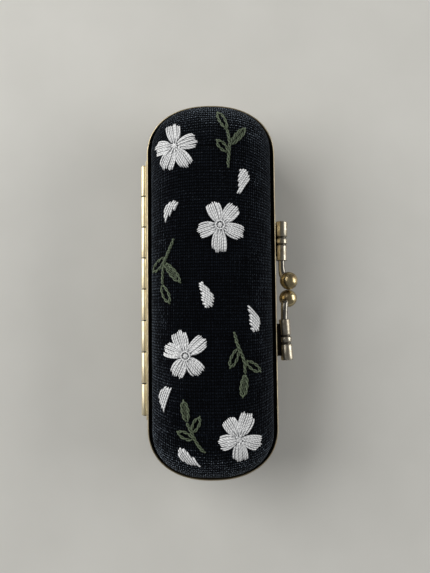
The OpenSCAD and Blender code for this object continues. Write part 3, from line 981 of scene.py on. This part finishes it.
def plan_curve(a, b, bow, count):
    """Points from a to b in plan, bowed sideways by bow at the middle."""
    a, b = np.array(a, float), np.array(b, float)
    t = np.linspace(0, 1, count)[:, None]
    ahead = b - a
    across = leftward(ahead) / np.linalg.norm(ahead)
    return a + ahead * t + across * bow * 4 * t * (1 - t)


def stitch(soup, ground, flat, radius, lift, tint, flatness=0.85):
    """One stitch along a flat path: out of the fabric, along it, and back in."""
    count = len(flat)
    t = np.linspace(0, 1, count)
    rise = np.minimum(1, np.minimum(t, 1 - t) * 7)
    rise = np.sin(rise * math.pi / 2)
    lifts = -0.22 + (lift + 0.22) * rise
    points, normals = ground.path(flat, lifts)
    girth = radius * (0.62 + 0.38 * np.minimum(1, np.minimum(t, 1 - t) * 9))
    add_tube(soup, points, girth, sides=10, up=normals, flat=flatness, tint=tint)


def shade():
    """How bright one stitch is beside the others."""
    return random.uniform(0.86, 1.04)


def satin_petal(soup, ground, centre, direction, length):
    """Long stitches fanning out from a flower's centre, over a padding layer, with uneven tips."""
    heading = np.array([math.cos(direction), math.sin(direction)])
    across = leftward(heading)
    centre = np.array(centre, float)
    half = PETAL_W / 2 - 0.3
    for strands, lift, reach in ((6, 0.05, 0.86), (8, 0.36, 1.0)):
        for i in range(strands):
            s = 2 * (i + 0.5) / strands - 1 + random.uniform(-0.05, 0.05)
            far = length * reach * (1 - 0.13 * abs(s) ** 2.2) + random.uniform(-0.3, 0.15)
            far += 0.25 if i // 2 % 2 else -0.3
            near = 1.3 if i % 2 else random.uniform(1.8, 2.8)
            start = centre + heading * near + across * s * 0.75 * near
            knee = centre + heading * 0.52 * length + across * s * half * 1.25
            end = centre + heading * far + across * s * half * 1.0
            t = np.linspace(0, 1, 16)[:, None]
            flat = (1 - t) ** 2 * start + 2 * t * (1 - t) * knee + t * t * end
            radius = THREAD_R * random.uniform(0.92, 1.08)
            stitch(soup, ground, flat, radius, lift * random.uniform(0.75, 1.25), shade())
    for i in range(3):
        s = i - 1 + random.uniform(-0.2, 0.2)
        start = centre + heading * 1.2 + across * s * 0.8
        end = centre + heading * random.uniform(4.0, 6.0) + across * s * random.uniform(1.5, 2.1)
        stitch(soup, ground, plan_curve(start, end, 0, 10), THREAD_R * 0.9, 0.62, shade())


def knot(soup, ground, x, y, size, lift):
    """A small French knot: thread wound round and drawn down."""
    count = 26
    t = np.linspace(0, 1, count)
    turns = 2.2
    radius = size * (0.95 - 0.5 * t)
    a = 2 * math.pi * turns * t + random.uniform(0, 6.28)
    flat = np.column_stack([x + radius * np.cos(a), y + radius * np.sin(a)])
    points, normals = ground.path(flat, 0.1 + lift * t)
    add_tube(soup, points, THREAD_R * 0.8, sides=8, up=normals, tint=shade())


def thread_ring(soup, ground, x, y, radius, lift):
    """One turn of thread lying on the petals' ends."""
    a = np.linspace(0, 2 * math.pi, 32, endpoint=False)
    flat = np.column_stack([x + radius * np.cos(a), y + radius * np.sin(a)])
    points, normals = ground.path(flat, np.full(len(a), lift))
    add_tube(soup, points, THREAD_R * 0.85, sides=10, up=normals, tint=1.0, closed=True)


def flower_middle(soup, ground, centre, kind):
    """What fills a flower's middle: a ring round short stitches, knots or plain crossing stitches."""
    x, y = centre
    spokes = {"ring": (4, 1.5, 0.55), "knots": (3, 1.5, 0.4), "plain": (4, 1.7, 0.45)}
    count, reach, lift = spokes[kind]
    for k in range(count):
        a = math.pi * k / count + 0.3
        tip = np.array([math.cos(a), math.sin(a)]) * reach
        middle = np.array(centre)
        flat = plan_curve(middle - tip, middle + tip, 0, 9)
        stitch(soup, ground, flat, THREAD_R * 0.9, lift, shade())
    if kind == "ring":
        thread_ring(soup, ground, x, y, RING_R, 0.8)
    if kind == "knots":
        for k in range(6):
            a = 2 * math.pi * k / 5
            away = 1.2 if k < 5 else 0
            knot(soup, ground, x + away * math.cos(a), y + away * math.sin(a), 0.55, 0.5)


def loose_petal(soup, ground, a, b, width, slant, side):
    """A crescent from a, its narrow tail, to b, filled with parallel slanted stitches."""
    a, b = np.array(a, float), np.array(b, float)
    length = np.linalg.norm(b - a)
    heading = (b - a) / length
    across = leftward(heading)
    lean = np.array([math.cos(math.radians(slant)), math.sin(math.radians(slant))])
    if lean @ heading < 0:
        lean = -lean
    aside = leftward(lean)
    bow = PETAL_BOW * side
    reach = np.arange(-length, length, 0.1)
    for lift, pitch in ((0.05, 1.0), (0.36, STITCH_PITCH)):
        for k, offset in enumerate(np.arange(-length, length, pitch)):
            line = (a + b) / 2 + aside * offset + reach[:, None] * lean
            s = np.clip((line - a) @ heading / length, 0, 1)
            half = 0.5 * (width - THREAD_R) * (0.2 + 0.8 * np.sin(math.pi * (0.02 + 0.8 * s ** 1.3)))
            off_centre = (line - a) @ across - bow * 4 * s * (1 - s) + bow / 2
            inside = line[(np.abs(off_centre) < half) & (s > 0) & (s < 1)]
            if len(inside) < 9:
                continue
            jag = 0.5 if k // 2 % 2 else -0.25
            start = inside[0] - lean * (jag + random.uniform(-0.1, 0.1))
            end = inside[-1] + lean * (jag + random.uniform(-0.1, 0.1))
            count = max(12, round(3 * np.linalg.norm(end - start)))
            radius = THREAD_R * random.uniform(1.02, 1.18)
            flat = plan_curve(start, end, 0.15, count)
            stitch(soup, ground, flat, radius, lift * random.uniform(0.7, 1.4), shade())


def rope(soup, ground, flat, radius, lift, pitch, tint):
    """Two plies twisted round a flat path, its ends going into the fabric."""
    count = len(flat)
    t = np.linspace(0, 1, count)
    rise = np.sin(np.minimum(1, np.minimum(t, 1 - t) * 10) * math.pi / 2)
    points, normals = ground.path(flat, -0.3 + (lift + 0.3) * rise)
    side = np.cross(unit(np.gradient(points, axis=0)), normals)
    angle = 2 * math.pi * distances(points) / pitch
    for phase in (0, math.pi):
        around = np.cos(angle + phase)[:, None] * side + np.sin(angle + phase)[:, None] * normals * 0.7
        ply = points + around * radius * 0.64
        add_tube(soup, ply, radius * 0.5, sides=8, up=normals, tint=tint * shade())


def leaf_loop(foot, tip, width, count=56):
    """A lazy-daisy loop from a leaf's foot, round its tip and back."""
    foot, tip = np.array(foot, float), np.array(tip, float)
    ahead = tip - foot
    across = leftward(ahead) / np.linalg.norm(ahead)
    t = np.linspace(0, 2 * math.pi, count)
    forward = (1 - np.cos(t)) / 2
    sideways = np.sin(t) * (1 - 0.15 * np.cos(t)) * width / 2
    return foot + ahead * forward[:, None] + across * sideways[:, None]


def embroidered_leaf(soup, ground, foot, tip, fill):
    """A leaf's outer loop, a tack over its tip, and what fills it."""
    foot, tip = np.array(foot, float), np.array(tip, float)
    ahead = (tip - foot) / np.linalg.norm(tip - foot)
    across = leftward(ahead)
    outer = leaf_loop(foot + 0.3 * ahead, tip - 0.7 * ahead, LEAF_LOOP_W)
    rope(soup, ground, outer, 0.56, 0.35, 5.0, 1.0)
    tack = plan_curve(tip - 1.1 * ahead, tip + 0.3 * ahead, 0, 8)
    stitch(soup, ground, tack, THREAD_R * 0.9, 0.5, shade(), 0.9)
    if fill == "loop":
        inner = leaf_loop(foot + 1.4 * ahead, tip - 2.2 * ahead, LEAF_LOOP_W * 0.3, 40)
        rope(soup, ground, inner, 0.3, 0.28, 4.0, 0.9)
    if fill == "full":
        for shift in (-0.35, 0.35):
            start = foot + 0.8 * ahead + across * shift
            end = tip - 1.2 * ahead + across * shift
            rope(soup, ground, plan_curve(start, end, 0.3 * shift, 18), 0.34, 0.3, 4.0, 0.95)


def foot_on_stem(foot, stem):
    """A leaf's foot moved up to its stem."""
    foot = np.array(foot, float)
    nearest = []
    for a, b in zip(stem[:-1], stem[1:]):
        a, b = np.array(a, float), np.array(b, float)
        share = np.clip((foot - a) @ (b - a) / ((b - a) @ (b - a)), 0, 1)
        nearest.append(a + share * (b - a))
    closest = min(nearest, key=lambda point: np.linalg.norm(point - foot))
    return closest + 0.3 * (foot - closest)


def outline_stem(soup, ground, points):
    """A line of overlapping outline stitches along a stem."""
    points = np.array(points, float)
    reached = distances(points)
    total = reached[-1]
    count = round(total / STEM_STITCH)

    def at(distance):
        distance = min(max(distance, 0), total)
        return np.array([np.interp(distance, reached, points[:, axis]) for axis in (0, 1)])

    for i in range(count):
        start = total * i / count - 0.6
        end = total * (i + 1) / count + 0.7
        a, b = at(start), at(end)
        across = leftward(b - a) / np.linalg.norm(b - a) * 0.2
        flat = plan_curve(a - across, b + across, 0, 16)
        rope(soup, ground, flat, 0.58, 0.32, 4.5, 1.0)


def dress_motif(soup, node, slot, floss):
    dress(soup, node + "_floss", None, "lid", slot, floss, node)


def embroidery(cover):
    """All stitched motifs, one piece for each CAD node."""
    ground = Ground(cover)
    for i, (centre, petals, kind) in enumerate(FLOWERS, 1):
        soup = Soup()
        for direction, length in petals:
            satin_petal(soup, ground, centre, math.radians(direction), length)
        flower_middle(soup, ground, centre, kind)
        dress_motif(soup, f"flower_{i}", "white_thread", WHITE_FLOSS)
    for i, (stem, leaves) in enumerate(SPRIGS, 1):
        soup = Soup()
        outline_stem(soup, ground, stem)
        for foot, tip, fill in leaves:
            embroidered_leaf(soup, ground, foot_on_stem(foot, stem), tip, fill)
        dress_motif(soup, f"sprig_{i}", "green_thread", GREEN_FLOSS)
    for i, petal in enumerate(PETALS, 1):
        soup = Soup()
        loose_petal(soup, ground, *petal)
        dress_motif(soup, f"petal_{i}", "white_thread", WHITE_FLOSS)


# ---- The whole case ----

def half(name, place, cap):
    """Everything in one half that doesn't belong to the hinge or clasp; returns its covering."""
    half_frame(name, place)
    half_padding(name, place, cap)
    half_shell(name, place, cap)
    half_lining(name, place, cap)
    half_filler(name, place)
    return half_cover(name, place, cap)


half("base", BASE_SIDE, BASE_CAP)
lid_cover = half("lid", LID_SIDE, LID_CAP)
hinge_leaf("base", -1)
hinge_leaf("lid", 1)
hinge_pin()
# The base's ball reaches above the parting plane and the lid's below it, so their places are exchanged
for side_name, side_place, lean_angle in (("base", LID_SIDE, BASE_LEAN), ("lid", BASE_SIDE, LID_LEAN)):
    clasp_barrel(side_name, side_place, lean_angle)
    clasp_stem(side_name, side_place)
    clasp_ball(side_name, side_place)
embroidery(lid_cover)


# ---- Floor, light and camera ----

def floor():
    reach = 3.0
    corners = [(-reach, -reach, 0), (reach, -reach, 0), (reach, reach, 0), (-reach, reach, 0)]
    mesh = bpy.data.meshes.new("floor")
    mesh.from_pydata(corners, [], [(0, 1, 2, 3)])
    mesh.materials.append(counter("counter"))
    add_object("floor", mesh)


def area_light(name, place, aim, size, power):
    """A soft, slightly warm rectangular light at place, facing aim."""
    light = bpy.data.lights.new(name, "AREA")
    light.shape = "RECTANGLE"
    light.size, light.size_y = size
    light.energy = power
    light.color = (1.0, 0.99, 0.96)
    made = add_object(name, light)
    made.location = place
    made.rotation_euler = (Vector(aim) - Vector(place)).to_track_quat("-Z", "Y").to_euler()


def lights():
    middle = (0, 0, PARTING / METRE)
    area_light("left_window", (-0.97, 0.45, 0.58), middle, (1.4, 1.1), 20.5)
    area_light("right_window", (0.95, 0.15, 0.36), middle, (0.9, 0.5), 7)
    world = bpy.data.worlds.new("studio")
    world.use_nodes = True
    sky = world.node_tree.nodes["Background"]
    sky.inputs["Color"].default_value = (0.93, 0.94, 0.96, 1)
    sky.inputs["Strength"].default_value = 0.18
    bpy.context.scene.world = world


def camera():
    """Nearly straight down from a quarter of a metre over the table, tipped and turned a little."""
    pitch, yaw, roll = -0.0524, 0.0113, 0.0098
    data = bpy.data.cameras.new("camera")
    data.lens = 33
    data.clip_start = 0.01
    made = add_object("camera", data)
    turn = Matrix.Rotation(roll, 3, "Z") @ Matrix.Rotation(pitch, 3, "X") @ Matrix.Rotation(yaw, 3, "Y")
    place = Vector((-0.0012, -0.0106, PARTING / METRE + 0.2341))
    made.matrix_world = Matrix.Translation(place) @ turn.transposed().to_4x4()
    bpy.context.scene.camera = made


floor()
lights()
camera()
bpy.context.scene.view_settings.view_transform = "Standard"
